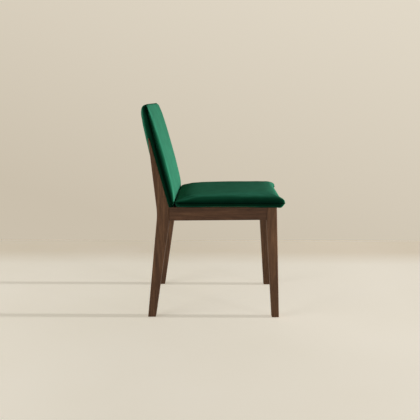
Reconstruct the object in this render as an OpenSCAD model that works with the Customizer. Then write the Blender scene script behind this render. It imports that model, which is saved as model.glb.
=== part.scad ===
// Dining chair: a dowelled hardwood frame whose rear legs run up as tapered
// stiles let into the sides of an upholstered back, with an upholstered seat
// pad screwed down on the rails. Millimetres, +Z up, the front faces -Y and
// the sitter's left is +X. The origin is on the floor, in the middle of the
// whole chair seen from above.

/* [Frame] */
// Width over the legs
chair_w = 458; // [420:1:520]
// Height of the top of the rails above the floor
frame_h = 456; // [420:1:480]
// Depth over all, from the seat's nose to the back's rearmost point
chair_d = 564; // [530:1:600]
// How far the heels stand ahead of the back's rearmost point
heel_in = 18; // [10:1:30]

/* [Legs] */
// Thickness of every leg across the chair
leg_t = 34; // [30:1:42]
// Radius on the long edges of the legs
leg_round = 4; // [1:0.5:6]
// Depth of a front leg at the foot
front_foot_d = 29.5; // [24:0.5:38]
// Depth of a front leg at the top
front_head_d = 40; // [34:0.5:50]
// How far the front face of a front leg leans back from floor to top
front_rake = 18; // [0:1:30]
// Depth of a rear leg at the foot
rear_foot_d = 31.5; // [24:0.5:38]
// Depth of a rear leg at the rails
rear_post_d = 48; // [42:0.5:60]
// How far the knee of a rear leg stands ahead of its heel
rear_kick = 44.5; // [30:0.5:60]

/* [Stiles] */
// How far the pointed tips of the stiles end below the top of the back, along its slope
tip_below = 129; // [110:1:150]
// Depth of a stile at its tip
tip_d = 5; // [3:0.5:10]
// Lean of the front face of the stiles, and of the back, from upright
back_lean = 15.25; // [10:0.25:20]

/* [Rails] */
// Height of the seat rails
rail_h = 53; // [45:1:70]
// How much the lower edges of the side rails rise towards the front
rail_rise = 4; // [0:0.5:8]
// Thickness of the seat rails
rail_t = 22; // [18:1:26]
// How far the front and rear rails stand back from the faces of the legs
rail_set = 4; // [0:0.5:8]
// Bevel on the lower edges of the rails
rail_bevel = 1.5; // [0.5:0.5:3]

/* [Back rails] */
// Height of the two rails hidden in the back
back_rail_h = 40; // [30:1:50]
// Thickness of the lower back rail
lower_rail_t = 18; // [14:1:20]
// Thickness of the upper back rail, thin enough for the narrowing stiles
upper_rail_t = 11; // [9:0.5:12]
// Height of the middle of the lower back rail along the back
lower_rail_up = 52; // [40:1:80]
// How far the middle of the upper back rail is below the stiles' tips, along the back
upper_rail_below = 74; // [66:1:110]

/* [Corner blocks] */
// Length of a front corner block along each rail
front_block_leg = 62; // [54:1:76]
// Length of a rear corner block, which reaches under the seat board
rear_block_leg = 88; // [80:1:100]
// Height of a corner block
block_h = 30; // [24:1:40]
// Thickness of the wood left at a block's slanted face, along each rail
block_nose = 12; // [8:1:16]

/* [Seat] */
// How far each side of the seat stands out past the legs
seat_side_over = 2; // [0:0.5:6]
// How far the seat's nose stands ahead of the front feet
seat_nose = 12; // [0:0.5:25]
// Gap between the seat's rear edge and the front of the stiles
seat_rear_gap = 28; // [26:0.5:36]
// Height of the crown of the seat above the rails
seat_pad_h = 51; // [45:1:75]
// Height of the widest line of the seat's sides above the rails
seat_ridge_h = 16; // [15:0.5:20]
// Radius of the seat's corners seen from above
seat_corner_r = 15; // [10:1:45]
// How far the seat's front edge tucks under
seat_tuck_front = 13; // [8:1:18]

/* [Back] */
// How far each side of the back stands out past the legs
back_side_over = 2; // [0:0.5:6]
// Length of the back along its slope
back_len = 408; // [370:1:440]
// Thickness of the back from the stiles' front face to its crown
back_pad_t = 42; // [36:1:60]
// Distance of the widest line of the back's sides from the stiles' front face
back_ridge_t = 16; // [14:0.5:20]
// Radius of the back's corners seen from the front
back_corner_r = 24; // [16:1:36]
// Padding behind the stiles' front face at the foot of the back
rear_pad_foot = 29; // [25:0.5:32]
// Padding behind the stiles' front face at the top of the back
rear_pad_head = 13; // [8:0.5:20]

/* [Padding edges] */
// How far the seat's and back's side and rear edges tuck in behind
edge_tuck = 5; // [3:0.5:6]
// How far the top edge of the back tucks in behind
top_tuck = 6; // [3:0.5:20]
// How far the rear padding's flat rear face stands in from its side edges
rear_side_round = 14; // [8:0.5:20]
// The same from its top edge, which rolls over more softly
rear_top_round = 60; // [14:1:80]

/* [Boards and covers] */
// Thickness of the seat board
seat_board_t = 12; // [9:1:12]
// Thickness of the back panel
back_panel_t = 12; // [9:1:12]
// How far the boards' edges stand in from the covers
board_inset = 6; // [5:0.5:12]
// How far the back panel's top stands below the top of the back
panel_drop = 34; // [28:1:60]
// Thickness of the covers
cover_t = 1.2; // [0.8:0.1:2]
// How far the seat cover reaches past the rails under the board
hem_lap = 6; // [4:1:12]
// Thickness of the dust cover under the seat
dust_t = 0.6; // [0.4:0.1:1]
// Diameter of the breather holes in the seat board
breather_d = 30; // [20:1:40]
// Distance between the breather holes
breather_pitch = 105; // [80:1:115]

/* [Fixings] */
// Diameter of the dowels in the seat rails
dowel_d = 8; // [6:0.5:10]
// Diameter of the dowels in the back rails
back_dowel_d = 6; // [5:0.5:7]
// Length of every dowel
dowel_l = 30; // [24:1:32]
// Distance between the two dowels of a joint in the seat rails
dowel_pitch = 26; // [20:1:32]
// Distance between the two dowels of a joint in the back rails
back_dowel_pitch = 20; // [14:1:22]
// Diameter of the screws in the corner blocks and the seat
screw_d = 4.5; // [3.5:0.5:5]
// Diameter of the screws in the back panel
panel_screw_d = 4; // [3:0.5:4.5]
// Length of a panel screw
panel_screw_l = 25; // [20:1:26]
// Distance of a panel screw from the middle of the back rail beside it
panel_screw_off = 20; // [17:1:26]
// Depth that a block screw reaches into its rail
block_bite = 15; // [10:1:17]
// Distance of the rear seat screws from the board's rear edge
seat_screw_edge = 14; // [10:1:20]
// Depth that a seat screw reaches into the seat board
seat_bite = 9; // [6:1:10]
// Diameter of a screw's head, as a share of its shank
head_ratio = 2; // [1.8:0.1:2.2]
// Diameter of the floor glides
glide_d = 20; // [16:1:24]
// Thickness of the floor glides under the feet
glide_h = 2.5; // [2:0.5:4]
// Diameter of the nail of a glide
glide_pin_d = 2.4; // [2:0.2:3]
// Length of the nail of a glide
glide_pin_l = 16; // [12:1:20]

/* [Clearances] */
// Clearance round dowels and screws
bore_gap = 0.1; // [0.05:0.05:0.2]
// Clearance between padding and what it rests on
soft_gap = 0.3; // [0.2:0.1:0.5]
// Glue space at the end of a dowel or screw hole
end_gap = 1; // [0.5:0.5:2]

/* [Hidden] */
sides = [-1, 1];
thin = 0.02;              // height of a section used only to loft between

// Colours
walnut = [0.30, 0.21, 0.15];
beech = [0.80, 0.66, 0.47];
plywood = [0.78, 0.64, 0.46];
velvet = [0.08, 0.42, 0.29];
foam_white = [0.90, 0.87, 0.76];
lining_black = [0.08, 0.08, 0.09];
zinc = [0.72, 0.72, 0.74];
nylon = [0.15, 0.13, 0.12];

// Frame positions
half_w = chair_w / 2;
inner_x = half_w - leg_t;                    // inner faces of the legs
leg_x = half_w - leg_t / 2;                  // middle of the legs
rail_x = half_w - rail_t / 2;                // middle of the side rails
rail_in_x = half_w - rail_t;                 // inner faces of the side rails
rail_z = frame_h - rail_h;                   // underside of the rails
rail_mid = frame_h - rail_h / 2;
heel_y = chair_d / 2 - heel_in;
toe_y = seat_nose - chair_d / 2;
knee_y = heel_y - rear_kick;
post_y = knee_y - rear_post_d;               // front faces of the rear legs
head_y = toe_y + front_rake + front_head_d;  // rear faces of the front legs
front_rail_y = toe_y + front_rake + rail_set;
front_rail_in_y = front_rail_y + rail_t;
rear_rail_in_y = post_y + rail_set;
seat_w = chair_w + 2 * seat_side_over;
back_w = chair_w + 2 * back_side_over;

// Stiles and the rails between them
tip_up = back_len - tip_below;               // place of the tips up the back's slope
upper_rail_up = tip_up - upper_rail_below;
tip_h = frame_h + tip_up * cos(back_lean);
tip_y = post_y + (tip_h - frame_h) * tan(back_lean);
kick_slope = rear_kick / rail_mid;
stile_slope = (tip_y + tip_d - knee_y) / (tip_h - rail_mid);

// Seat stack, from the rails up
seat_front_y = toe_y - seat_nose;
seat_rear_y = post_y - seat_rear_gap;
seat_base = frame_h + soft_gap;
board_z = seat_base + cover_t;
seat_crown = frame_h + seat_pad_h;
seat_ridge = frame_h + seat_ridge_h;

// Back: distances up its slope. The padding starts below the rails' top and is
// cut off level just above it.
back_low = -rear_pad_foot * tan(back_lean);
panel_low = board_inset;
panel_top = back_len - panel_drop;
pad_taper = atan((rear_pad_foot - rear_pad_head) / back_len);

// Profile exponents of the crowned pads: 2 is an ellipse, more is squarer
seat_swell = [10, 20, 6];                    // sides, front, rear
back_swell = [10, 1.6, 4.4];                 // sides, foot, head
pad_steps = 8;
rear_steps = 5;
crown_turn = 84;          // the crown is lofted up to this turn of a quarter circle

// Rear face of a rear leg at height z, the knee rounded over the rail's height
function knee_ease(z) =
    let (reach = rail_h / 2, off = max(0, reach - abs(z - rail_mid)))
    (kick_slope + stile_slope) * off * off / (4 * reach);
function rear_face(z) =
    knee_y + (z < rail_mid ? (rail_mid - z) * kick_slope : (z - rail_mid) * stile_slope)
    + knee_ease(z);

// Front face of a rear leg at height z
function post_face(z) =
    z > frame_h ? post_y + (z - frame_h) * tan(back_lean)
    : z > rail_z ? post_y
    : heel_y - rear_foot_d + (post_y - heel_y + rear_foot_d) * z / rail_z;

// Faces of a front leg at height z
function shin_face(z) = toe_y + front_rake * z / frame_h;
function calf_face(z) =
    z > rail_z ? head_y : toe_y + front_foot_d + (head_y - toe_y - front_foot_d) * z / rail_z;

// How far a pad's edge has drawn in at a share of its height, for a half size
function draw_in(half, share, swell) = half * (1 - pow(1 - share * share, 1 / swell));

// ---------------------------------------------------------------- shapes

// The outline of a rectangle with round corners, its arcs in whole steps
module round_outline(w, d, r, steps) {
    r_ok = min(r, w / 2 - thin, d / 2 - thin);
    centres = [[1, 1], [-1, 1], [-1, -1], [1, -1]];
    polygon([for (q = [0:3], k = [0:steps])
        let (turn = 90 * (q + k / steps))
        [centres[q][0] * (w / 2 - r_ok) + r_ok * cos(turn),
         centres[q][1] * (d / 2 - r_ok) + r_ok * sin(turn)]]);
}

// A thin level section of a pad between two Y positions, centred on X
module pad_section(w, y0, y1, r) {
    translate([0, (y0 + y1) / 2, 0])
        linear_extrude(thin)
            round_outline(w, y1 - y0, r, 6);
}

// A thin level section of a leg at height z, from y0 to y1
module leg_section(z, y0, y1) {
    translate([leg_x, (y0 + y1) / 2, z])
        linear_extrude(thin)
            round_outline(leg_t, y1 - y0, leg_round, 4);
}

// A board with true round corners between two Y positions, centred on X
module board(w, y0, y1, r, t) {
    translate([0, (y0 + y1) / 2, 0])
        linear_extrude(t) {
            square([w - 2 * r, y1 - y0], center = true);
            square([w, y1 - y0 - 2 * r], center = true);
            for (sx = sides, sy = sides)
                translate([sx * (w / 2 - r), sy * ((y1 - y0) / 2 - r)])
                    circle(r = r, $fn = 48);
        }
}

// A crowned pad lying flat: edge is [half width, y low, y high], levels are
// [bottom, ridge, crown], tuck is how far the bottom draws in at the sides,
// low and high ends, and shrink moves every face inwards
module crowned_pad(edge, levels, tuck, swell, corner_r, shrink = 0) {
    half_x = edge[0] - shrink;
    y_low = edge[1] + shrink;
    y_high = edge[2] - shrink;
    half_y = (y_high - y_low) / 2;
    rise = levels[2] - levels[1] - shrink;
    drop = levels[1] - levels[0] - shrink;
    hull() {
        for (i = [1:3]) {
            share = i / 3;
            under = 1 - sqrt(1 - share * share);
            translate([0, 0, levels[1] - drop * share])
                pad_section(2 * (half_x - tuck[0] * under), y_low + tuck[1] * under,
                            y_high - tuck[2] * under, corner_r);
        }
        for (i = [0:pad_steps]) {
            share = sin(crown_turn * i / pad_steps);
            translate([0, 0, levels[1] + rise * share / sin(crown_turn) - thin])
                pad_section(2 * (half_x - draw_in(half_x, share, swell[0])),
                            y_low + draw_in(half_y, share, swell[1]),
                            y_high - draw_in(half_y, share, swell[2]), corner_r);
        }
    }
}

// Puts what is drawn flat (X across, Y up the slope, Z out to the front)
// against the front faces of the stiles
module on_the_back() {
    translate([0, post_y - thin, frame_h])
        rotate([90 - back_lean, 0, 0])
            children();
}

// A bar of the rails' section along X, its lower front and rear edges bevelled
module rail_bar(len, t, h, bevel) {
    translate([-len / 2, 0, 0])
        rotate([90, 0, 90])
            linear_extrude(len)
                polygon([[bevel, 0], [t - bevel, 0], [t, bevel], [t, h], [0, h], [0, bevel]]);
}

// A round rod from the origin along +Z, with its ends chamfered
module dowel(d, len) {
    chamfer = d / 8;
    cylinder(d1 = d - 2 * chamfer, d2 = d, h = chamfer, $fn = 32);
    translate([0, 0, chamfer])
        cylinder(d = d, h = len - 2 * chamfer, $fn = 32);
    translate([0, 0, len - chamfer])
        cylinder(d1 = d, d2 = d - 2 * chamfer, h = chamfer, $fn = 32);
}

// A countersunk screw: its head's face at the origin, its shank along +Z
module screw(d, len) {
    head_r = d * head_ratio / 2;
    cone = head_r - d / 2;
    slot = [head_r * 1.1, d / 5, cone * 0.7];
    difference() {
        union() {
            cylinder(r1 = head_r, r2 = d / 2, h = cone, $fn = 32);
            translate([0, 0, cone])
                cylinder(d = d, h = len - cone - d / 2, $fn = 32);
            translate([0, 0, len - d / 2])
                cylinder(d1 = d, d2 = d / 4, h = d / 2, $fn = 32);
        }
        // the cross recess of the head
        for (turn = [0, 90])
            rotate([0, 0, turn])
                translate([-slot[0] / 2, -slot[1] / 2, -thin])
                    cube(slot);
    }
}

// The hole that a screw of that size passes through, with its countersink
module screw_hole(d, len) {
    head_r = d * head_ratio / 2;
    cone = head_r - d / 2;
    cylinder(r1 = head_r + bore_gap, r2 = d / 2 + bore_gap, h = cone, $fn = 32);
    cylinder(d = d + 2 * bore_gap, h = len + end_gap, $fn = 32);
}

// ---------------------------------------------------------------- placing

// Puts its children at both dowels of each joint of a cross rail, on the legs'
// inner faces, pointing outwards; only the +X end when both is false
module at_cross_dowels(y, both = true) {
    for (side = both ? sides : [1], up = sides)
        translate([side * inner_x, y, rail_mid + up * dowel_pitch / 2])
            rotate([0, side * 90, 0])
                children();
}

// The same at the ends of a side rail, pointing away from the rail
module at_side_dowels(side) {
    for (up = sides) {
        translate([side * rail_x, post_y, rail_mid + up * dowel_pitch / 2])
            rotate([-90, 0, 0])
                children();
        translate([side * rail_x, head_y, rail_mid + up * dowel_pitch / 2])
            rotate([90, 0, 0])
                children();
    }
}

// The same at the ends of a back rail that is up the slope and t thick
module at_back_dowels(up_slope, t, both = true) {
    on_the_back()
        for (side = both ? sides : [1], up = sides)
            translate([side * inner_x, up_slope + up * back_dowel_pitch / 2, -t / 2])
                rotate([0, side * 90, 0])
                    children();
}

// Heads of the screws that hold the back panel to one stile
panel_screw_rows = [lower_rail_up - panel_screw_off, (lower_rail_up + upper_rail_up) / 2,
                    upper_rail_up - panel_screw_off];
module at_panel_screws(side) {
    on_the_back()
        for (v = panel_screw_rows)
            translate([side * leg_x, v, back_panel_t])
                rotate([180, 0, 0])
                    children();
}

// The four feet: [x, y]
feet = [for (side = sides) [side * leg_x, toe_y + front_foot_d / 2],
        for (side = sides) [side * leg_x, heel_y - rear_foot_d / 2]];

// ---------------------------------------------------------------- legs

module front_leg_shape() {
    stations = [glide_h, rail_z, frame_h];
    difference() {
        for (i = [0:len(stations) - 2])
            hull() {
                leg_section(stations[i], shin_face(stations[i]), calf_face(stations[i]));
                leg_section(stations[i + 1] - thin, shin_face(stations[i + 1]),
                            calf_face(stations[i + 1]));
            }
        at_side_dowels(1) dowel_bore(dowel_d);
        at_cross_dowels(front_rail_y + rail_t / 2, false) dowel_bore(dowel_d);
        translate([leg_x, feet[0][1], 0]) glide_bore();
    }
}

module rear_leg_shape() {
    stations = [glide_h, for (i = [0:4]) rail_z + rail_h * i / 4, tip_h];
    difference() {
        for (i = [0:len(stations) - 2])
            hull() {
                leg_section(stations[i], post_face(stations[i]), rear_face(stations[i]));
                leg_section(stations[i + 1] - thin, post_face(stations[i + 1]),
                            rear_face(stations[i + 1]));
            }
        at_side_dowels(1) dowel_bore(dowel_d);
        at_cross_dowels(rear_rail_in_y + rail_t / 2, false) dowel_bore(dowel_d);
        at_back_dowels(lower_rail_up, lower_rail_t, false) dowel_bore(back_dowel_d);
        at_back_dowels(upper_rail_up, upper_rail_t, false) dowel_bore(back_dowel_d);
        at_panel_screws(1) screw_hole(panel_screw_d, panel_screw_l);
        translate([leg_x, feet[2][1], 0]) glide_bore();
    }
}

// Half of a dowel's hole, into whatever lies along +Z
module dowel_bore(d) {
    translate([0, 0, -thin])
        cylinder(d = d + 2 * bore_gap, h = dowel_l / 2 + end_gap + thin, $fn = 32);
}

module glide_bore() {
    cylinder(d = glide_pin_d + 2 * bore_gap, h = glide_h + glide_pin_l + end_gap, $fn = 32);
}

module front_leg_left() { color(walnut) front_leg_shape(); }
module front_leg_right() { color(walnut) mirror([1, 0, 0]) front_leg_shape(); }
module rear_leg_left() { color(walnut) rear_leg_shape(); }
module rear_leg_right() { color(walnut) mirror([1, 0, 0]) rear_leg_shape(); }

// ---------------------------------------------------------------- rails

module side_rail(side) {
    color(walnut)
        difference() {
            translate([side * rail_x - rail_t / 2, 0, 0])
                mirror([1, -1, 0])
                    hull() {
                        translate([post_y - thin / 2, 0, rail_z])
                            rail_bar(thin, rail_t, rail_h, rail_bevel);
                        translate([head_y + thin / 2, 0, rail_z + rail_rise])
                            rail_bar(thin, rail_t, rail_h - rail_rise, rail_bevel);
                    }
            at_side_dowels(side) mirror([0, 0, 1]) dowel_bore(dowel_d);
            for (end = sides)
                block_screw_place(side, end, true)
                    screw_bite_hole();
        }
}

module side_rail_left() { side_rail(1); }
module side_rail_right() { side_rail(-1); }

module cross_rail(y, end) {
    color(walnut)
        difference() {
            translate([0, y, rail_z])
                rail_bar(2 * inner_x, rail_t, rail_h, rail_bevel);
            at_cross_dowels(y + rail_t / 2) mirror([0, 0, 1]) dowel_bore(dowel_d);
            for (side = sides)
                block_screw_place(side, end, false)
                    screw_bite_hole();
        }
}

module front_rail() { cross_rail(front_rail_y, -1); }
module rear_rail() { cross_rail(rear_rail_in_y, 1); }

module back_rail(up_slope, t) {
    color(beech)
        difference() {
            on_the_back()
                translate([-inner_x, up_slope - back_rail_h / 2, -t])
                    cube([2 * inner_x, back_rail_h, t]);
            at_back_dowels(up_slope, t) mirror([0, 0, 1]) dowel_bore(back_dowel_d);
        }
}

module lower_back_rail() { back_rail(lower_rail_up, lower_rail_t); }
module upper_back_rail() { back_rail(upper_rail_up, upper_rail_t); }

module rail_dowels() {
    color(beech) {
        for (side = sides)
            at_side_dowels(side)
                translate([0, 0, -dowel_l / 2]) dowel(dowel_d, dowel_l);
        for (y = [front_rail_y, rear_rail_in_y])
            at_cross_dowels(y + rail_t / 2)
                translate([0, 0, -dowel_l / 2]) dowel(dowel_d, dowel_l);
    }
}

module back_rail_dowels() {
    color(beech) {
        at_back_dowels(lower_rail_up, lower_rail_t)
            translate([0, 0, -dowel_l / 2]) dowel(back_dowel_d, dowel_l);
        at_back_dowels(upper_rail_up, upper_rail_t)
            translate([0, 0, -dowel_l / 2]) dowel(back_dowel_d, dowel_l);
    }
}

// ---------------------------------------------------------------- corner blocks

// Inner corner of the rails at an end of the chair: -1 front, 1 rear
function corner_y(end) = end < 0 ? front_rail_in_y : rear_rail_in_y;
function block_leg(end) = end < 0 ? front_block_leg : rear_block_leg;
function leg_inner_y(end) = end < 0 ? head_y : post_y;
block_z = frame_h - block_h - end_gap;
block_screw_z = block_z + block_h / 2;
// Where a block's screws stand off the corner, and how long they are
function block_screw_off(end) = block_leg(end) - block_nose - screw_d;
block_screw_l = block_nose + block_bite;

// Puts its children at the head of one block screw, pointing into its rail:
// into the side rail when into_side is true, else into the front or rear rail
module block_screw_place(side, end, into_side) {
    off_y = corner_y(end) - end * block_screw_off(end);
    off_x = rail_in_x - block_screw_off(end);
    if (into_side)
        translate([side * (rail_in_x - block_nose), off_y, block_screw_z])
            rotate([0, side * 90, 0]) children();
    else
        translate([side * off_x, corner_y(end) - end * block_nose, block_screw_z])
            rotate([-end * 90, 0, 0]) children();
}

module screw_bite_hole() {
    cylinder(d = screw_d + 2 * bore_gap, h = block_screw_l + end_gap, $fn = 32);
}

// Seat screws: how far they stand off the corner of the rails, in X and in Y
leg_step = leg_t - rail_t;                   // how far a leg stands inside the side rail
front_screw_off = leg_step + (front_block_leg - leg_step) / 3;
function seat_screw_off(end) =
    end < 0 ? [front_screw_off, front_screw_off]
            : [rear_block_leg / 4, rear_rail_in_y - seat_rear_y + board_inset + seat_screw_edge];
seat_screw_sink = block_h / 3;               // depth of the pocket for the head
seat_screw_l = board_z + seat_bite - block_z - seat_screw_sink;

module at_seat_screw(side, end) {
    off = seat_screw_off(end);
    translate([side * (rail_in_x - off[0]), corner_y(end) - end * off[1], block_z])
        children();
}

// The holes of the four seat screws, through whatever they cross
module seat_screw_holes() {
    for (side = sides, end = sides)
        at_seat_screw(side, end)
            translate([0, 0, seat_screw_sink])
                cylinder(d = screw_d + 2 * bore_gap, h = seat_screw_l + end_gap, $fn = 32);
}

// A block in one corner: a right triangle with blunt ends, notched for the leg
module corner_block(side, end) {
    reach = block_leg(end);
    notch_x = leg_step + soft_gap;
    notch_y = abs(corner_y(end) - leg_inner_y(end)) + soft_gap;
    color(beech)
        difference() {
            translate([side * rail_in_x, corner_y(end), block_z])
                mirror([side > 0 ? 1 : 0, 0, 0])
                    mirror([0, end > 0 ? 1 : 0, 0])
                        linear_extrude(block_h)
                            polygon([[notch_x, 0], [reach, 0], [reach, block_nose],
                                     [block_nose, reach], [0, reach], [0, notch_y],
                                     [notch_x, notch_y]]);
            for (into_side = [true, false])
                block_screw_place(side, end, into_side) {
                    screw_hole(screw_d, block_screw_l);
                    // the pocket from the slanted face down to the head
                    translate([0, 0, thin - reach])
                        cylinder(d = screw_d * head_ratio + 2 * bore_gap, h = reach, $fn = 32);
                }
            at_seat_screw(side, end) {
                translate([0, 0, seat_screw_sink])
                    screw_hole(screw_d, block_h);
                translate([0, 0, -thin])
                    cylinder(d = screw_d * head_ratio + 2 * bore_gap,
                             h = seat_screw_sink + 2 * thin, $fn = 32);
            }
        }
}

module corner_block_front_left() { corner_block(1, -1); }
module corner_block_front_right() { corner_block(-1, -1); }
module corner_block_rear_left() { corner_block(1, 1); }
module corner_block_rear_right() { corner_block(-1, 1); }

module corner_block_screws() {
    color(zinc)
        for (side = sides, end = sides, into_side = [true, false])
            block_screw_place(side, end, into_side)
                screw(screw_d, block_screw_l);
}

module seat_screws() {
    color(zinc)
        for (side = sides, end = sides)
            at_seat_screw(side, end)
                translate([0, 0, seat_screw_sink])
                    screw(screw_d, seat_screw_l);
}

// ---------------------------------------------------------------- seat

module seat_form(shrink) {
    crowned_pad([seat_w / 2, seat_front_y, seat_rear_y], [seat_base, seat_ridge, seat_crown],
                [edge_tuck, seat_tuck_front, edge_tuck], seat_swell, seat_corner_r, shrink);
}

module seat_board_form(grow = 0) {
    translate([0, 0, board_z - grow])
        board(seat_w - 2 * board_inset + 2 * grow,
              seat_front_y + seat_tuck_front + board_inset - grow,
              seat_rear_y - board_inset + grow, seat_corner_r, seat_board_t + 2 * grow);
}

module seat_board() {
    color(plywood)
        difference() {
            seat_board_form();
            for (ix = [-1:1], iy = [-1:1])
                translate([ix * breather_pitch, (seat_front_y + seat_rear_y) / 2
                           + iy * breather_pitch, board_z - thin])
                    cylinder(d = breather_d, h = seat_board_t + 2 * thin, $fn = 48);
            seat_screw_holes();
        }
}

// The underside that the seat cover leaves open, inside the rails
seat_opening_rear_y = seat_rear_y - edge_tuck - board_inset - 2 * hem_lap;
module seat_opening(t, gap = 0) {
    board(2 * (rail_in_x - hem_lap - gap), front_rail_in_y + hem_lap + gap,
          seat_opening_rear_y - gap, seat_corner_r / 2, t);
}

module seat_foam() {
    color(foam_white)
        difference() {
            seat_form(cover_t + soft_gap);
            seat_board_form(soft_gap);
        }
}

module seat_cover() {
    color(velvet)
        difference() {
            seat_form(0);
            seat_form(cover_t);
            seat_board_form(thin);
            translate([0, 0, seat_base - end_gap])
                seat_opening(cover_t + 2 * end_gap);
            seat_screw_holes();
        }
}

module dust_cover() {
    color(lining_black)
        difference() {
            translate([0, 0, board_z - dust_t])
                seat_opening(dust_t, soft_gap);
            seat_screw_holes();
        }
}

// ---------------------------------------------------------------- back

// Cuts off what lies below a level just above the rails
module above_rails(shrink) {
    difference() {
        children();
        translate([0, 0, seat_base + shrink - rail_h])
            linear_extrude(rail_h)
                square([2 * chair_w, 2 * chair_d], center = true);
    }
}

module back_form(shrink) {
    above_rails(shrink)
        on_the_back()
            crowned_pad([back_w / 2, back_low, back_len], [0, back_ridge_t, back_pad_t],
                        [edge_tuck, edge_tuck, top_tuck], back_swell, back_corner_r, shrink);
}

module back_panel_form(grow = 0) {
    translate([0, 0, -grow])
        board(back_w - 2 * board_inset - 2 * edge_tuck + 2 * grow,
              panel_low - grow, panel_top + grow, back_corner_r,
              back_panel_t + 2 * grow);
}

module back_panel() {
    color(plywood)
        difference() {
            on_the_back() back_panel_form();
            for (side = sides)
                at_panel_screws(side) screw_hole(panel_screw_d, back_panel_t);
        }
}

module back_panel_screws() {
    color(zinc)
        for (side = sides)
            at_panel_screws(side) screw(panel_screw_d, panel_screw_l);
}

module back_foam() {
    color(foam_white)
        difference() {
            back_form(cover_t + soft_gap);
            on_the_back() back_panel_form(soft_gap);
        }
}

module back_cover() {
    color(velvet)
        difference() {
            back_form(0);
            back_form(cover_t);
            on_the_back() back_panel_form(thin);
        }
}

// The padding behind the panel: a wedge that thins towards the top, its rear
// face rolling over at the sides and the top. past is how far its front face
// stands out past the stiles' front faces.
module rear_form(shrink, past = 0) {
    half_x = back_w / 2 - edge_tuck - shrink;
    low = back_low + shrink;
    high = back_len - top_tuck - shrink;
    depth = rear_pad_foot - shrink;
    above_rails(shrink)
        on_the_back()
            hull() {
                translate([0, 0, past - thin])
                    pad_section(2 * half_x, low, high, back_corner_r);
                for (i = [1:rear_steps]) {
                    share = sin(90 * i / rear_steps);
                    roll = 1 - cos(90 * i / rear_steps);
                    rotate([pad_taper * share, 0, 0])
                        translate([0, 0, -depth * share])
                            pad_section(2 * (half_x - rear_side_round * roll), low,
                                        high - rear_top_round * roll, back_corner_r);
                }
            }
}

// The room that the stiles take up in that padding, with its clearance
module stile_room() {
    reach = rear_pad_foot * 2;
    for (side = sides)
        translate([side * (inner_x - soft_gap + leg_t), 0, 0])
            rotate([90, 0, 90])
                linear_extrude(2 * leg_t, center = true)
                    polygon([[post_y - reach, rail_z], [heel_y, rail_z],
                             [knee_y + soft_gap, rail_mid],
                             [tip_y + tip_d + soft_gap, tip_h + soft_gap],
                             [tip_y - reach, tip_h + soft_gap]]);
}

module rear_pad() {
    color(foam_white)
        difference() {
            rear_form(cover_t + soft_gap);
            stile_room();
            on_the_back()
                for (rail = [[lower_rail_up, lower_rail_t], [upper_rail_up, upper_rail_t]])
                    translate([-half_w, rail[0] - back_rail_h / 2 - soft_gap, -rail[1] - soft_gap])
                        cube([chair_w, back_rail_h + 2 * soft_gap, rail[1] + 2 * soft_gap]);
        }
}

module rear_cover() {
    color(velvet)
        difference() {
            rear_form(0);
            rear_form(cover_t, thin);
            stile_room();
        }
}

// ---------------------------------------------------------------- glides

module floor_glides() {
    color(nylon)
        for (foot = feet)
            translate([foot[0], foot[1], 0]) {
                cylinder(d1 = glide_d - glide_h, d2 = glide_d, h = glide_h, $fn = 48);
                translate([0, 0, glide_h])
                    cylinder(d = glide_pin_d, h = glide_pin_l, $fn = 24);
            }
}

front_leg_left();
front_leg_right();
rear_leg_left();
rear_leg_right();
side_rail_left();
side_rail_right();
front_rail();
rear_rail();
corner_block_front_left();
corner_block_front_right();
corner_block_rear_left();
corner_block_rear_right();
rail_dowels();
corner_block_screws();
lower_back_rail();
upper_back_rail();
back_rail_dowels();
back_panel();
back_panel_screws();
back_foam();
back_cover();
rear_pad();
rear_cover();
seat_board();
seat_foam();
seat_cover();
seat_screws();
dust_cover();
floor_glides();
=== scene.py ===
"""Dining chair: its walnut and velvet finish, a plain floor and soft studio light."""
import math

import bmesh
import bpy
import numpy as np
from mathutils import Matrix, Vector


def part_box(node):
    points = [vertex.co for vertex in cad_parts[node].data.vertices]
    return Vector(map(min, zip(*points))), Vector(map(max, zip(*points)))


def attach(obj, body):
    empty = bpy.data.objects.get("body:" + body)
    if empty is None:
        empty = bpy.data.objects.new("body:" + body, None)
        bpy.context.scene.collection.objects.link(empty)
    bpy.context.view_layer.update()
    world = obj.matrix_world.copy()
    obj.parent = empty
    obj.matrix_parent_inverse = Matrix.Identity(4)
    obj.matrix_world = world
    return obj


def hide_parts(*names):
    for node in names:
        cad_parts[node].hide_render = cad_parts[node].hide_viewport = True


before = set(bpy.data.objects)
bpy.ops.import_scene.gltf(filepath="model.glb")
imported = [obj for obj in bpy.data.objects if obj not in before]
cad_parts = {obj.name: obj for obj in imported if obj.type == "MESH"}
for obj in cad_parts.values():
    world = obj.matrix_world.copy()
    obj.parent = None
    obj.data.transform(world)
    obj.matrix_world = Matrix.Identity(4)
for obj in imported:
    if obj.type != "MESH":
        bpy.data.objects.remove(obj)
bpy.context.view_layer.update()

MM = 0.001

# ---------------------------------------------------------------- places taken from the frame

RAIL_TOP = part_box("side_rail_left")[1].z
POST_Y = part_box("rear_leg_left")[0].y          # front faces of the rear legs at the rails
SEAT_LOW, SEAT_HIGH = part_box("seat_cover")
BACK_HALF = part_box("back_cover")[1].x
BACK_LEAN = math.radians(15.25)                # lean of the stiles and of the back


def hex_linear(code):
    """The linear colour of an sRGB hex value such as "#8A6B4F"."""
    parts = [int(code[i:i + 2], 16) / 255 for i in (1, 3, 5)]
    return [c / 12.92 if c <= 0.04045 else ((c + 0.055) / 1.055) ** 2.4 for c in parts] + [1.0]


# ---------------------------------------------------------------- node helper

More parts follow.
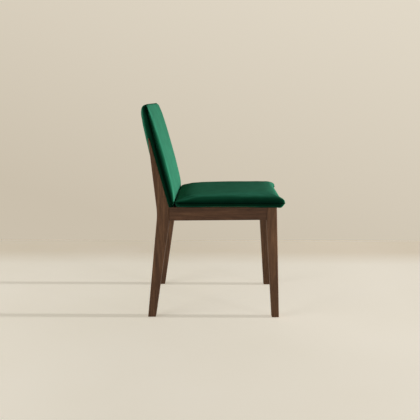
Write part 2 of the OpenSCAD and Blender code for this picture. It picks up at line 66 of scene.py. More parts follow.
def add_node(tree, kind, links=None, **settings):
    """Adds a node. A setting names a property, or an input socket written with its spaces as
    underscores; links maps input sockets to the output sockets that feed them."""
    node = tree.nodes.new(kind)
    for name, value in settings.items():
        if hasattr(node, name):
            setattr(node, name, value)
        else:
            node.inputs[name.replace("_", " ")].default_value = value
    for name, source in (links or {}).items():
        tree.links.new(source, node.inputs[name])
    return node


def colour_ramp(tree, source, stops):
    """A colour ramp fed by source. stops are (position, hex colour)."""
    ramp = add_node(tree, "ShaderNodeValToRGB", {"Fac": source})
    points = ramp.color_ramp.elements
    while len(points) < len(stops):
        points.new(0.5)
    for point, (position, code) in zip(points, stops):
        point.position = position
        point.color = hex_linear(code)
    return ramp


def new_material(name):
    """An empty material with its output node."""
    material = bpy.data.materials.new(name)
    material.use_nodes = True
    tree = material.node_tree
    tree.nodes.clear()
    return material, tree, tree.nodes.new("ShaderNodeOutputMaterial")


# ---------------------------------------------------------------- materials

def walnut_stained_wood(along, browns):
    """Hardwood stained walnut under a thin satin lacquer, with its grain along one axis: brown with
    darker growth lines, fine open pores and a soft sheen. browns are the stain's tones, dark to
    light; the legs' and the rails' tones differ by painted light and shade. Real pores are about
    0.2 mm wide and are drawn 1.1 mm wide, so that they show."""
    material, tree, out = new_material("walnut_stained_wood_" + along)
    place = add_node(tree, "ShaderNodeTexCoord")
    stretch = {"x": (0.06, 1, 1), "y": (1, 0.06, 1), "z": (1, 1, 0.06)}[along]
    grain_place = add_node(tree, "ShaderNodeMapping", {"Vector": place.outputs["Object"]},
                           Scale=stretch)
    figure = add_node(tree, "ShaderNodeTexNoise", {"Vector": grain_place.outputs["Vector"]},
                      Scale=1 / (16 * MM), Detail=4.0, Roughness=0.6, Distortion=0.4)
    streak = add_node(tree, "ShaderNodeTexNoise", {"Vector": grain_place.outputs["Vector"]},
                      Scale=1 / (3.5 * MM), Detail=3.0, Roughness=0.7)
    pores = add_node(tree, "ShaderNodeTexNoise", {"Vector": grain_place.outputs["Vector"]},
                     Scale=1 / (1.1 * MM), Detail=2.0, Roughness=0.5)
    mixed = add_node(tree, "ShaderNodeMix",
                     {"A": figure.outputs["Fac"], "B": streak.outputs["Fac"]},
                     data_type="FLOAT", Factor=0.45)
    brown = colour_ramp(tree, mixed.outputs[0], list(zip((0.30, 0.48, 0.60, 0.74), browns)))
    dark = add_node(tree, "ShaderNodeMapRange", {"Value": pores.outputs["Fac"]},
                    From_Min=0.30, From_Max=0.45, To_Min=0.72, To_Max=1.0)
    shaded = add_node(tree, "ShaderNodeMix",
                      {"A": brown.outputs["Color"], "B": dark.outputs["Result"]},
                      data_type="RGBA", blend_type="MULTIPLY", Factor=1.0)
    bump = add_node(tree, "ShaderNodeBump", {"Height": pores.outputs["Fac"]},
                    Strength=0.12, Distance=0.15 * MM)
    shader = add_node(tree, "ShaderNodeBsdfPrincipled",
                      {"Base Color": shaded.outputs["Result"], "Normal": bump.outputs["Normal"]},
                      Roughness=0.6, Specular_IOR_Level=0.25)
    tree.links.new(shader.outputs["BSDF"], out.inputs["Surface"])
    return material


def green_velvet():
    """Short-pile polyester velvet in emerald. Its sheen is painted into its base colour by the
    viewing angle: almost black green where it faces the eye, bright along its grazing edges, as if
    the light caught the tips of the pile. Real tufts are about 0.3 mm apart and are drawn 0.9 mm
    apart, so that they show."""
    material, tree, out = new_material("green_velvet")
    place = add_node(tree, "ShaderNodeTexCoord")
    brushed = add_node(tree, "ShaderNodeTexNoise", {"Vector": place.outputs["Object"]},
                       Scale=1 / (45 * MM), Detail=3.0, Roughness=0.55)
    pile = add_node(tree, "ShaderNodeTexNoise", {"Vector": place.outputs["Object"]},
                    Scale=1 / (0.9 * MM), Detail=2.0, Roughness=0.6)
    # painted sheen: the base colour follows the viewing angle, near black face on and bright green
    # at grazing angles
    grazing = add_node(tree, "ShaderNodeLayerWeight", Blend=0.5)
    sheen = colour_ramp(tree, grazing.outputs["Facing"],
                        [(0.0, "#01271A"), (0.12, "#02321F"), (0.3, "#0A402A"), (0.5, "#175D40"),
                         (0.72, "#409474"), (0.88, "#388063"), (1.0, "#3A8567")])
    nap = add_node(tree, "ShaderNodeMapRange", {"Value": brushed.outputs["Fac"]},
                   From_Min=0.30, From_Max=0.70, To_Min=0.88, To_Max=1.10)
    green = add_node(tree, "ShaderNodeMix",
                     {"A": sheen.outputs["Color"], "B": nap.outputs["Result"]},
                     data_type="RGBA", blend_type="MULTIPLY", Factor=1.0)
    bump = add_node(tree, "ShaderNodeBump", {"Height": pile.outputs["Fac"]},
                    Strength=0.15, Distance=0.15 * MM)
    shader = add_node(tree, "ShaderNodeBsdfPrincipled",
                      {"Base Color": green.outputs["Result"], "Normal": bump.outputs["Normal"]},
                      Roughness=0.95, Specular_IOR_Level=0.05,
                      Sheen_Weight=0.05, Sheen_Roughness=0.4, Sheen_Tint=hex_linear("#2FA57A"))
    tree.links.new(shader.outputs["BSDF"], out.inputs["Surface"])
    return material


def seam_painted_shade():
    """Near-black velvet along a seam, where the pile closes over the stitches: its dark colour is
    painted shade of the seam's groove.
    """
    material, tree, out = new_material("velvet_seam_painted_shade")
    place = add_node(tree, "ShaderNodeTexCoord")
    stitches = add_node(tree, "ShaderNodeTexNoise", {"Vector": place.outputs["Object"]},
                        Scale=1 / (3 * MM), Detail=1.0)
    green = colour_ramp(tree, stitches.outputs["Fac"], [(0.3, "#03140C"), (0.7, "#06200F")])
    shader = add_node(tree, "ShaderNodeBsdfPrincipled", {"Base Color": green.outputs["Color"]},
                      Roughness=1.0, Specular_IOR_Level=0.0)
    tree.links.new(shader.outputs["BSDF"], out.inputs["Surface"])
    return material


def planed_beech(along):
    """Planed, unfinished beech, with its grain along one axis: pale pinkish brown with short darker
    flecks, and matt because nothing seals it. Real flecks are about 0.5 mm wide and are drawn
    1.2 mm wide, so that they show."""
    material, tree, out = new_material("planed_beech_" + along)
    place = add_node(tree, "ShaderNodeTexCoord")
    stretch = {"x": (0.12, 1, 1), "y": (1, 0.12, 1)}[along]
    grain_place = add_node(tree, "ShaderNodeMapping", {"Vector": place.outputs["Object"]},
                           Scale=stretch)
    rings = add_node(tree, "ShaderNodeTexNoise", {"Vector": grain_place.outputs["Vector"]},
                     Scale=1 / (9 * MM), Detail=3.0, Distortion=0.3)
    flecks = add_node(tree, "ShaderNodeTexNoise", {"Vector": grain_place.outputs["Vector"]},
                      Scale=1 / (1.2 * MM), Detail=1.0)
    mixed = add_node(tree, "ShaderNodeMix",
                     {"A": rings.outputs["Fac"], "B": flecks.outputs["Fac"]},
                     data_type="FLOAT", Factor=0.4)
    tone = colour_ramp(tree, mixed.outputs[0],
                       [(0.35, "#B78F66"), (0.50, "#C9A67B"), (0.65, "#D6B78E")])
    bump = add_node(tree, "ShaderNodeBump", {"Height": flecks.outputs["Fac"]},
                    Strength=0.1, Distance=0.1 * MM)
    shader = add_node(tree, "ShaderNodeBsdfPrincipled",
                      {"Base Color": tone.outputs["Color"], "Normal": bump.outputs["Normal"]},
                      Roughness=0.75, Specular_IOR_Level=0.3)
    tree.links.new(shader.outputs["BSDF"], out.inputs["Surface"])
    return material


def birch_plywood():
    """Sanded birch plywood: pale faces with long soft figure, and veneers 1.5 mm thick that show as
    light and dark lines across its edges. A wave's bands repeat every pi / 10 over its scale."""
    material, tree, out = new_material("birch_plywood")
    two_veneers = 3 * MM
    place = add_node(tree, "ShaderNodeTexCoord")
    grain_place = add_node(tree, "ShaderNodeMapping", {"Vector": place.outputs["Object"]},
                           Scale=(1, 0.08, 1))
    figure = add_node(tree, "ShaderNodeTexNoise", {"Vector": grain_place.outputs["Vector"]},
                      Scale=1 / (20 * MM), Detail=4.0, Distortion=0.5)
    veneers = add_node(tree, "ShaderNodeTexWave", {"Vector": place.outputs["Object"]},
                       bands_direction="Z", Scale=math.pi / 10 / two_veneers)
    face = colour_ramp(tree, figure.outputs["Fac"], [(0.35, "#C2A377"), (0.65, "#D5B98F")])
    mixed = add_node(tree, "ShaderNodeMix",
                     {"A": face.outputs["Color"], "B": veneers.outputs["Color"]},
                     data_type="RGBA", blend_type="MULTIPLY", Factor=0.15)
    shader = add_node(tree, "ShaderNodeBsdfPrincipled", {"Base Color": mixed.outputs["Result"]},
                      Roughness=0.6, Specular_IOR_Level=0.35)
    tree.links.new(shader.outputs["BSDF"], out.inputs["Surface"])
    return material


def zinc_plated_steel():
    """Steel screws with bright zinc plating: a grey metal with a faint uneven chromate tone."""
    material, tree, out = new_material("zinc_plated_steel")
    place = add_node(tree, "ShaderNodeTexCoord")
    patches = add_node(tree, "ShaderNodeTexNoise", {"Vector": place.outputs["Object"]},
                       Scale=1 / (2.5 * MM), Detail=2.0)
    tone = colour_ramp(tree, patches.outputs["Fac"], [(0.3, "#B9BABA"), (0.7, "#D2D1CC")])
    shader = add_node(tree, "ShaderNodeBsdfPrincipled", {"Base Color": tone.outputs["Color"]},
                      Metallic=1.0, Roughness=0.35)
    tree.links.new(shader.outputs["BSDF"], out.inputs["Surface"])
    return material


def non_woven_lining():
    """Black spun-bonded polypropylene lining: a matt cloth of pressed fibres with no weave. The
    fibres are far under 1 mm and are drawn as a mottling of 1.5 mm, so that they show."""
    material, tree, out = new_material("non_woven_lining")
    place = add_node(tree, "ShaderNodeTexCoord")
    fibres = add_node(tree, "ShaderNodeTexVoronoi", {"Vector": place.outputs["Object"]},
                      Scale=1 / (1.5 * MM))
    tone = colour_ramp(tree, fibres.outputs["Distance"], [(0.0, "#161617"), (0.6, "#232324")])
    bump = add_node(tree, "ShaderNodeBump", {"Height": fibres.outputs["Distance"]},
                    Strength=0.3, Distance=0.1 * MM)
    shader = add_node(tree, "ShaderNodeBsdfPrincipled",
                      {"Base Color": tone.outputs["Color"], "Normal": bump.outputs["Normal"]},
                      Roughness=0.9, Specular_IOR_Level=0.2)
    tree.links.new(shader.outputs["BSDF"], out.inputs["Surface"])
    return material


def moulded_nylon():
    """Dark brown moulded nylon of the floor glides: slightly waxy, and scuffed by the floor."""
    material, tree, out = new_material("moulded_nylon")
    place = add_node(tree, "ShaderNodeTexCoord")
    scuffs = add_node(tree, "ShaderNodeTexNoise", {"Vector": place.outputs["Object"]},
                      Scale=1 / (1.5 * MM), Detail=2.0)
    tone = colour_ramp(tree, scuffs.outputs["Fac"], [(0.3, "#2B241F"), (0.7, "#3A322C")])
    shader = add_node(tree, "ShaderNodeBsdfPrincipled", {"Base Color": tone.outputs["Color"]},
                      Roughness=0.5, IOR=1.53)
    tree.links.new(shader.outputs["BSDF"], out.inputs["Surface"])
    return material


# ---------------------------------------------------------------- padded pieces

def outline(half_x, half_y, power, turns):
    """Points of |x/half_x|^power + |y/half_y|^power = 1 in the directions of turns."""
    across = np.cos(turns)
    along = np.sin(turns)
    reach = (np.abs(across / half_x) ** power + np.abs(along / half_y) ** power) ** (-1 / power)
    return reach * across, reach * along


def even_turns(half_x, half_y, power, count):
    """Directions of count points that lie evenly spaced along such an outline."""
    turns = np.linspace(0, 2 * np.pi, 20 * count, endpoint=False)
    x, y = outline(half_x, half_y, power, turns)
    step = np.hypot(np.diff(x, append=x[0]), np.diff(y, append=y[0]))
    along = np.concatenate([[0], np.cumsum(step)])
    wanted = np.linspace(0, along[-1], count, endpoint=False)
    return np.interp(wanted, along, np.append(turns, 2 * np.pi))


def pad_rings(half_x, half_y, corner_power, tuck):
    """Rings of a pad about its own centre, from the middle of its underside over its widest line
    to its crown. The third value of a point is -1 to 0 from the underside up to the widest line,
    and 1 above it. tuck is how far the underside's edge draws in."""
    count = 260                    # points in a ring
    side_rings = 10                # rings from the underside up to the widest line
    crown_rings = 27
    crown_step = 3.3               # degrees from one ring of the crown to the next
    crowding = 0.2                 # below 1 it crowds the crown's rings towards the edge
    inner_power = 3                # the crown's inner rings are rounder than its edge
    turns = even_turns(half_x, half_y, corner_power, count)
    edge_x, edge_y = outline(half_x, half_y, corner_power, turns)
    edge = np.hypot(edge_x, edge_y)
    rings = [np.stack([edge_x * share, edge_y * share, np.full(count, -1.0)], 1)
             for share in (0.3, 0.6, 0.9)]
    for k in range(side_rings):
        turn = math.pi / 2 * (1 - k / side_rings)
        inset = 1 - tuck * (1 - math.cos(turn)) / edge
        rings.append(np.stack([edge_x * inset, edge_y * inset, np.full(count, -math.sin(turn))], 1))
    shares = [math.cos(math.radians(crown_step * k)) ** crowding for k in range(crown_rings)]
    for share in shares + [0.4, 0.25, 0.1]:
        blend = min(1, max(0, (share - 0.3) / 0.6))
        power = inner_power + (corner_power - inner_power) * blend ** 3
        x, y = outline(half_x, half_y, power, turns)
        rings.append(np.stack([x * share, y * share, np.ones(count)], 1))
    return rings


def fullness(place, half, power, root=0.5):
    """1 in the middle of a pad and 0 at its edge, by a squared-off ellipse. A higher power keeps
    the middle flatter, and a lower root makes the edge steeper."""
    return np.maximum(1 - np.abs(place / half) ** power, 0) ** root


def loft(name, rings):
    """A closed mesh object through rings of points, its two ends closed by fans."""
    count = len(rings[0])
    points = np.concatenate(rings + [rings[0].mean(0)[None], rings[-1].mean(0)[None]])
    faces = []
    for r in range(len(rings) - 1):
        for i in range(count):
            j = (i + 1) % count
            faces.append((r * count + i, r * count + j, (r + 1) * count + j, (r + 1) * count + i))
    first_end = len(points) - 2
    last_end = len(points) - 1
    last_ring = (len(rings) - 1) * count
    for i in range(count):
        j = (i + 1) % count
        faces.append((first_end, j, i))
        faces.append((last_end, last_ring + i, last_ring + j))
    mesh = bpy.data.meshes.new(name)
    mesh.from_pydata([tuple(p) for p in points], [], faces)
    mesh.update()
    piece = bpy.data.objects.new(name, mesh)
    bpy.context.scene.collection.objects.link(piece)
    return piece


def apply_modifiers(piece):
    """Turns the piece's mesh into what its modifiers make of it."""
    seen = piece.evaluated_get(bpy.context.evaluated_depsgraph_get())
    mesh = bpy.data.meshes.new_from_object(seen)
    old = piece.data
    piece.data = mesh
    piece.modifiers.clear()
    bpy.data.meshes.remove(old)


def cut_flat(piece, place, outwards):
    """Cuts away what lies on one side of a plane, and closes the cut."""
    work = bmesh.new()
    work.from_mesh(piece.data)
    geometry = work.verts[:] + work.edges[:] + work.faces[:]
    cut = bmesh.ops.bisect_plane(work, geom=geometry, plane_co=place, plane_no=outwards,
                                 clear_outer=True)
    edges = [e for e in cut["geom_cut"] if isinstance(e, bmesh.types.BMEdge)]
    bmesh.ops.edgeloop_fill(work, edges=edges)
    bmesh.ops.recalc_face_normals(work, faces=work.faces)
    work.to_mesh(piece.data)
    work.free()


def ease(value, start, end):
    """0 below start and 1 above end, with a smooth rise between them."""
    share = np.clip((value - start) / (end - start), 0, 1)
    return share * share * (3 - 2 * share)


# Puts what is drawn flat (x across, y up the slope, z out to the front) against the stiles
ON_THE_BACK = (Matrix.Translation((0, POST_Y, RAIL_TOP))
               @ Matrix.Rotation(math.pi / 2 - BACK_LEAN, 4, "X"))


def puff_up(piece, freedom, room):
    """Rounds a pad by a short cloth simulation with air pressure inside. Points whose freedom is
    0 or less stay, and no other moves further than its freedom, up to 1, times room."""
    last_frame = 20
    even = piece.modifiers.new("even_mesh", "REMESH")
    even.mode = "VOXEL"
    even.voxel_size = 5.5 * MM
    apply_modifiers(piece)
    start = np.array([v.co for v in piece.data.vertices])
    free = freedom(start)
    held = piece.vertex_groups.new(name="held")
    held.add([int(i) for i in np.flatnonzero(free <= 0)], 1.0, "REPLACE")
    cloth = piece.modifiers.new("cloth", "CLOTH")
    cloth.settings.quality = 4
    cloth.settings.mass = 0.25
    cloth.settings.use_pressure = True
    cloth.settings.uniform_pressure_force = 4.0
    cloth.settings.vertex_group_mass = "held"
    cloth.settings.effector_weights.gravity = 0.0
    cloth.collision_settings.use_collision = False
    cloth.point_cache.frame_start = 1
    cloth.point_cache.frame_end = last_frame
    for step in range(1, last_frame + 1):
        bpy.context.scene.frame_set(step)
    apply_modifiers(piece)
    bpy.context.scene.frame_set(1)
    moved = np.array([v.co for v in piece.data.vertices]) - start
    far = np.linalg.norm(moved, axis=1)
    allowed = room * np.tanh(far / room) * np.clip(free, 0, 1)
    moved *= (allowed / np.maximum(far, 1e-9))[:, None]
    piece.data.vertices.foreach_set("co", (start + moved).ravel())
    smooth = piece.modifiers.new("smooth", "SUBSURF")
    smooth.levels = 1
    apply_modifiers(piece)
    piece.vertex_groups.clear()


def cord(name, path, radius, colour):
    """A thin round cord along a row of points."""
    nearly_up = np.array([0.0, 0.0, 1.0]) + 1e-3     # an upright stretch has a side to it too
    turns = np.linspace(0, 2 * np.pi, 8, endpoint=False)[:, None]
    path = np.asarray(path)
    ahead = np.gradient(path, axis=0)
    ahead /= np.linalg.norm(ahead, axis=1)[:, None]
    sides = np.cross(ahead, nearly_up)
    sides /= np.linalg.norm(sides, axis=1)[:, None]
    rings = []
    for point, side, above in zip(path, sides, np.cross(sides, ahead)):
        rings.append(point + radius * (np.cos(turns) * side + np.sin(turns) * above))
    piece = loft(name, rings)
    piece.data.materials.append(colour)
    return piece


SEAM_RADIUS = 1.5 * MM

# The seat pad passes its cover's box by a few millimetres: its corner lobes stand out at the
# front, and its seam bulges at the sides.
SEAT_MIDDLE = (SEAT_HIGH.y + SEAT_LOW.y + 2 * MM) / 2
SEAT_REACH = (SEAT_HIGH.y - SEAT_LOW.y + 13 * MM) / 2
SEAT_HALF = SEAT_HIGH.x + 2.5 * MM
SEAT_SEAM = RAIL_TOP + 17 * MM                  # height of the widest line of the seat's sides
SEAT_RISE = SEAT_HIGH.z - 3.2 * MM - SEAT_SEAM  # from there up to the crown
SEAT_DROP = 16.6 * MM                           # and down to the underside
SEAT_CORNER_POWER = 26                          # the higher, the squarer the corners


def seat_form(x, y, z):
    """Gives points about the seat's middle and its widest line their places in the chair. The
    front edge is a little hollow between the corners and hangs over the front legs, and the top
    falls gently to the rear."""
    front_hollow = 15 * MM
    upper_hollow = 4 * MM          # all along the upper edge of the front
    corner_tuck = 9 * MM           # the lower edge of each corner draws back
    front_hang = 3.5 * MM
    rear_fall = 6.5 * MM
    front = ease(-y, SEAT_REACH - 60 * MM, SEAT_REACH)
    lip = ease(-y, SEAT_REACH - 34 * MM, SEAT_REACH - 20 * MM)
    between = 1 - ease(np.abs(x), SEAT_HALF - 50 * MM, SEAT_HALF - 10 * MM)
    below = ease(-z, 4 * MM, 16 * MM)
    hollow = front_hollow * between + upper_hollow * ease(z, 12 * MM, 28 * MM)
    tuck = corner_tuck * (1 - between) * below
    hang = front_hang * lip * below
    fall = rear_fall * ease(y, -130 * MM, 190 * MM) * ease(z, 0, 25 * MM)
    return np.stack([x, y + front * (hollow + tuck) + SEAT_MIDDLE, z - fall - hang + SEAT_SEAM], 1)


def seat_pad():
    """The crowned seat pad, which bulges above and below the seam at its widest line. Its seam
    and the part that rests on the rails stay where they are when it is puffed up."""
    side_power = 10
    front_power = 24
    rear_power = 6
    underside_tuck = 11 * MM
    rings = []
    for ring in pad_rings(SEAT_HALF, SEAT_REACH, SEAT_CORNER_POWER, underside_tuck):
        x, y, level = ring.T
        end_power = np.where(y < 0, front_power, rear_power)
        crown = fullness(x, SEAT_HALF, side_power) * fullness(y, SEAT_REACH, end_power)
        rings.append(seat_form(x, y, np.where(level > 0, SEAT_RISE * crown, SEAT_DROP * level)))
    piece = loft("seat_velvet", rings)

    def freedom(points):
        z = points[:, 2]
        off_seam = (abs(z - SEAT_SEAM) - 2.5 * MM) / np.where(z > SEAT_SEAM, 14 * MM, 4 * MM)
        off_rails = (z - RAIL_TOP - 3 * MM) / (4 * MM)
        return np.minimum(off_seam, off_rails)

    puff_up(piece, freedom, room=1.5 * MM)
    return piece


def seat_seam(colour):
    """The sewn line round the seat's widest line, sunk a little into the velvet."""
    sunk = 0.9 * MM
    turns = even_turns(SEAT_HALF, SEAT_REACH, SEAT_CORNER_POWER, 300) + math.pi / 2
    x, y = outline(SEAT_HALF - sunk, SEAT_REACH - sunk, SEAT_CORNER_POWER,
                   np.append(turns, turns[0]))
    return cord("seat_seam", seat_form(x, y, 0 * x), SEAM_RADIUS, colour)


# The back's padding lies between these places up its slope. Its seam runs along the sides at the
# widest line, which comes forward towards the top.
BACK_FOOT = -22 * MM
BACK_TOP = 408 * MM
BACK_MIDDLE = (BACK_TOP + BACK_FOOT) / 2
BACK_REACH = (BACK_TOP - BACK_FOOT) / 2
PAD_HALF = BACK_HALF + 1 * MM
BACK_CORNER_POWER = 16


def seam_out(v):
    """How far the back's seam is in front of the stiles, at a place up the slope."""
    return 16 * MM + 5.5 * MM * ease(v, 200 * MM, 410 * MM)


def back_half(name, depth_at, out):
    """One half of the back's padding: in front of its seam when out is 1, behind it when -1."""
    seam_gap = 1.2 * MM            # from the seam to the half's widest line
    edge_tuck = 3 * MM
    rings = []
    for ring in pad_rings(PAD_HALF, BACK_REACH, BACK_CORNER_POWER, edge_tuck):
        x, y, level = ring.T
        v = y + BACK_MIDDLE
        grown = np.where(level > 0, depth_at(x, v), level * MM) + seam_gap
        rings.append(np.stack([x * out, v, seam_out(v) + out * grown], 1))
    piece = loft(name, rings)

    def freedom(points):
        off_seam = out * (points[:, 2] - seam_out(points[:, 1]))
        return (off_seam - 3 * MM) / (16 * MM)

    puff_up(piece, freedom, room=0.8 * MM)
    piece.data.transform(ON_THE_BACK)
    cut_flat(piece, (0, 0, RAIL_TOP + 0.4 * MM), (0, 0, -1))
    return piece


def back_pad():
    """The crowned padding on the front of the back, in front of its side seams. It thins softly
    towards its foot, where it meets the seat."""
    crown = 36 * MM                # in front of the stiles
    foot_end = 45 * MM             # the foot's rounding ends here, up the slope
    foot_length = 50 * MM

    def depth_at(x, v):
        up = (v - BACK_MIDDLE) / BACK_REACH
        along = np.where(up < 0, fullness(up, 1, 1.6, 0.35), fullness(up, 1, 4))
        foot = fullness(np.clip(foot_end - v, 0, foot_length), foot_length, 2, 0.8)
        across = fullness(x, PAD_HALF, 14)
        return (crown - seam_out(v)) * across * along * foot

    return back_half("back_velvet", depth_at, 1)


def rear_pad():
    """The padding behind those seams. It thins towards the top, rolls over the top edge and
    makes room for the stiles."""
    depth = 43.5 * MM              # at the rails, behind the seam
    taper = 0.024                  # depth lost for each unit of length up the slope

    def depth_at(x, v):
        up = np.maximum(v - BACK_MIDDLE, 0) / BACK_REACH
        return (depth - taper * v) * fullness(x, PAD_HALF, 10) * fullness(up, 1, 8, 0.33)

    piece = back_half("rear_velvet", depth_at, -1)
    for node in ("rear_leg_left", "rear_leg_right"):
        cut = piece.modifiers.new("stile_room", "BOOLEAN")
        cut.operation = "DIFFERENCE"
        cut.solver = "EXACT"
        cut.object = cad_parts[node]
    apply_modifiers(piece)
    return piece


def back_seam(colour):
    """The sewn line between the two halves, up one side, over the top and down the other."""
    sunk = 1.5 * MM
    from_foot = even_turns(PAD_HALF, BACK_REACH, BACK_CORNER_POWER, 400) + math.pi / 2
    turns = np.sort(from_foot % (2 * math.pi))
    x, y = outline(PAD_HALF - sunk, BACK_REACH - sunk, BACK_CORNER_POWER, turns - math.pi / 2)
    v = y + BACK_MIDDLE
    path = [ON_THE_BACK @ Vector(place) for place in zip(x, v, seam_out(v))]
    shown = [place for place in path if place.z > RAIL_TOP + 2 * MM]
    return cord("back_seam", shown, SEAM_RADIUS, colour)


velvet = green_velvet()
PADS = (
    (seat_pad(), ("seat_cover", "seat_foam")),
    (back_pad(), ("back_cover", "back_foam")),
    (rear_pad(), ("rear_cover", "rear_pad")))
for piece, nodes in PADS:
    piece.data.materials.append(velvet)
    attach(piece, "root")
    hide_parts(*nodes)
    piece.data.shade_smooth()
    piece.data.set_sharp_from_angle(angle=math.radians(50))
# The seams' cords are near-black velvet: painted shade of the seams' grooves
seam_shade_material = seam_painted_shade()
for piece in (seat_seam(seam_shade_material), back_seam(seam_shade_material)):
    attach(piece, "root")
    piece.data.shade_smooth()

# ---------------------------------------------------------------- finishes of the frame's pieces

# Tones of the stain from dark to light, in two copies: the legs' tones are lighter, painted light,
# and the rails' tones darker, painted shade under the seat.
LIT_LEG_BROWNS = ("#4C3528", "#70513B", "#896448", "#A57F5E")
SHADED_RAIL_BROWNS = ("#422E22", "#624634", "#795740", "#926F51")
FINISHES = (
    (walnut_stained_wood("z", LIT_LEG_BROWNS), ("front_leg_left", "front_leg_right",
                                            "rear_leg_left", "rear_leg_right")),
    (walnut_stained_wood("y", SHADED_RAIL_BROWNS), ("side_rail_left", "side_rail_right")),
    (walnut_stained_wood("x", SHADED_RAIL_BROWNS), ("front_rail", "rear_rail")),
    (planed_beech("x"), ("lower_back_rail", "upper_back_rail", "back_rail_dowels",
                         "corner_block_front_left", "corner_block_front_right",
                         "corner_block_rear_left", "corner_block_rear_right")),
    (planed_beech("y"), ("rail_dowels",)),
    (birch_plywood(), ("seat_board", "back_panel")),
    (zinc_plated_steel(), ("corner_block_screws", "seat_screws", "back_panel_screws")),
    (non_woven_lining(), ("dust_cover",)),
    (moulded_nylon(), ("floor_glides",)))
for material, nodes in FINISHES:
    for node in nodes:
        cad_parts[node].data.materials.clear()
        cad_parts[node].data.materials.append(material)

# ---------------------------------------------------------------- floor and light


def camera_like_ray(tree):
    """1 for rays from the camera, reflected rays and rays through glass, else 0."""
    path = add_node(tree, "ShaderNodeLightPath")
    total = path.outputs["Is Camera Ray"]
    for kind in ("Is Glossy Ray", "Is Transmission Ray"):
        added = add_node(tree, "ShaderNodeMath", operation="ADD", use_clamp=True)
        tree.links.new(total, added.inputs[0])
        tree.links.new(path.outputs[kind], added.inputs[1])
        total = added.outputs[0]
    return total


def plain_floor():
    """A pale microcement floor, with a faint cloudiness. Cameras and reflections also see a glow on
    it, with a painted pool of light brightening it towards the front light and painted shade
    dulling it where the floor meets the wall."""
    material, tree, out = new_material("pale_floor")
    light_pool_rear = 0.3                # the painted pool of light brightens the glow between these places on Y, in metres
    light_pool_front = -0.8
    wall_shade_start = 0.54              # and painted shade dulls it between these on X
    wall_shade_end = 0.80
    place = add_node(tree, "ShaderNodeTexCoord")
    cloud = add_node(tree, "ShaderNodeTexNoise", {"Vector": place.outputs["Object"]},
                     Scale=1.4, Detail=5.0, Roughness=0.6)
    tone = colour_ramp(tree, cloud.outputs["Fac"], [(0.35, "#F0EADD"), (0.65, "#F7F2E8")])
    axes = add_node(tree, "ShaderNodeSeparateXYZ", {"Vector": place.outputs["Object"]})
    to_front = add_node(tree, "ShaderNodeMapRange", {"Value": axes.outputs["Y"]},
                        From_Min=light_pool_rear, From_Max=light_pool_front)
    # painted pool of light on the floor, brighter towards the front
    painted_light_pool = colour_ramp(tree, to_front.outputs["Result"], [(0.0, "#ACA596"), (1.0, "#C0B9AB")])
    to_wall = add_node(tree, "ShaderNodeMapRange", {"Value": axes.outputs["X"]},
                       From_Min=wall_shade_start, From_Max=wall_shade_end)
    # painted shade where the floor meets the wall
    painted_wall_shade = colour_ramp(tree, to_wall.outputs["Result"], [(0.0, "#FFFFFF"), (1.0, "#E5DCCF")])
    shaded = add_node(tree, "ShaderNodeMix",
                      {"A": painted_light_pool.outputs["Color"], "B": painted_wall_shade.outputs["Color"]},
                      data_type="RGBA", blend_type="MULTIPLY", Factor=1.0)
    shader = add_node(tree, "ShaderNodeBsdfPrincipled", {"Base Color": tone.outputs["Color"]},
                      Roughness=0.75, Specular_IOR_Level=0.3)
    glow = add_node(tree, "ShaderNodeEmission", {"Color": shaded.outputs["Result"]}, Strength=1.0)
    nothing = add_node(tree, "ShaderNodeEmission", Strength=0.0)
    seen = add_node(tree, "ShaderNodeMixShader", {"Fac": camera_like_ray(tree)})
    tree.links.new(nothing.outputs[0], seen.inputs[1])
    tree.links.new(glow.outputs[0], seen.inputs[2])
    both = add_node(tree, "ShaderNodeAddShader")
    tree.links.new(shader.outputs["BSDF"], both.inputs[0])
    tree.links.new(seen.outputs[0], both.inputs[1])
    tree.links.new(both.outputs[0], out.inputs["Surface"])
    return material


def floor_plane():
    """The floor, which ends in a straight edge some way behind the chair."""
    wall_x = 1.07
    reach = 9.0
    corners = [(-reach, -reach, 0), (wall_x, -reach, 0), (wall_x, reach, 0), (-reach, reach, 0)]
    mesh = bpy.data.meshes.new("floor")
    mesh.from_pydata(corners, [], [(0, 1, 2, 3)])
    floor = bpy.data.objects.new("floor", mesh)
    bpy.context.scene.collection.objects.link(floor)
    mesh.materials.append(plain_floor())


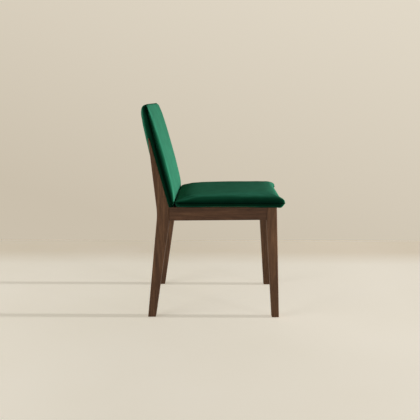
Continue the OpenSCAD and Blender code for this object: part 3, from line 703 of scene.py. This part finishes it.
def studio_world():
    """A plain pale backdrop for the camera and for reflections, and a soft even light. The backdrop
    is brighter upwards and towards the front: painted light."""
    world = bpy.data.worlds.new("studio")
    bpy.context.scene.world = world
    world.use_nodes = True
    tree = world.node_tree
    tree.nodes.clear()
    out = tree.nodes.new("ShaderNodeOutputWorld")
    place = add_node(tree, "ShaderNodeTexCoord")
    towards_light = add_node(tree, "ShaderNodeVectorMath", {0: place.outputs["Generated"]},
                             operation="DOT_PRODUCT")
    # Up and a little to the front. The longer this is, the more steeply the backdrop changes.
    towards_light.inputs[1].default_value = (0, -0.68, 1.9)
    bright = add_node(tree, "ShaderNodeMapRange", {"Value": towards_light.outputs["Value"]},
                      From_Min=-0.5, From_Max=0.5)
    wall = colour_ramp(tree, bright.outputs["Result"], [(0.0, "#CBC0AD"), (1.0, "#E2D9C8")])
    backdrop = add_node(tree, "ShaderNodeBackground", {"Color": wall.outputs["Color"]},
                        Strength=1.0)
    light = add_node(tree, "ShaderNodeBackground", Color=hex_linear("#FFF8F0"), Strength=0.07)
    mix = add_node(tree, "ShaderNodeMixShader", {"Fac": camera_like_ray(tree)})
    tree.links.new(light.outputs[0], mix.inputs[1])
    tree.links.new(backdrop.outputs[0], mix.inputs[2])
    tree.links.new(mix.outputs[0], out.inputs["Surface"])


def lamp(name, kind, energy, place, target, **settings):
    """A lamp at place, turned towards target."""
    data = bpy.data.lights.new(name, kind)
    data.energy = energy
    for key, value in settings.items():
        setattr(data, key, value)
    light = bpy.data.objects.new(name, data)
    bpy.context.scene.collection.objects.link(light)
    light.location = place
    light.rotation_euler = (Vector(target) - Vector(place)).to_track_quat("-Z", "Y").to_euler()


def side_camera():
    """A 50 mm camera at the chair's side, a little above the top of its back."""
    data = bpy.data.cameras.new("camera")
    data.lens = 50
    data.sensor_width = 36
    camera = bpy.data.objects.new("camera", data)
    bpy.context.scene.collection.objects.link(camera)
    camera.location = (-2.478, -0.017, 0.885)
    down = math.radians(11.03)
    turn = math.radians(0.713)
    ahead = Vector((math.cos(down) * math.cos(turn),
                    math.cos(down) * math.sin(turn),
                    -math.sin(down)))
    camera.rotation_euler = ahead.to_track_quat("-Z", "Y").to_euler()
    bpy.context.scene.camera = camera


floor_plane()
studio_world()
lamp("low_front_light", "SUN", 2.3, place=(0, -3.0, 0.60), target=(0, 0, 0),
     angle=math.radians(1.5))
lamp("front_window", "SPOT", 50, place=(-0.25, -1.5, 0.62), target=(0, 0.17, 0.55),
     spot_size=math.radians(30), spot_blend=1.0, shadow_soft_size=0.15)
lamp("leg_light", "SPOT", 34, place=(-1.15, -1.5, 0.42), target=(-0.1, -0.2, 0.27),
     spot_size=math.radians(26), spot_blend=1.0, shadow_soft_size=0.2)
lamp("side_fill", "AREA", 40, place=(-1.8, 2.9, 0.75), target=(0, 0, 0.6),
     shape="SQUARE", size=2.0)
side_camera()
bpy.context.scene.view_settings.view_transform = "Standard"
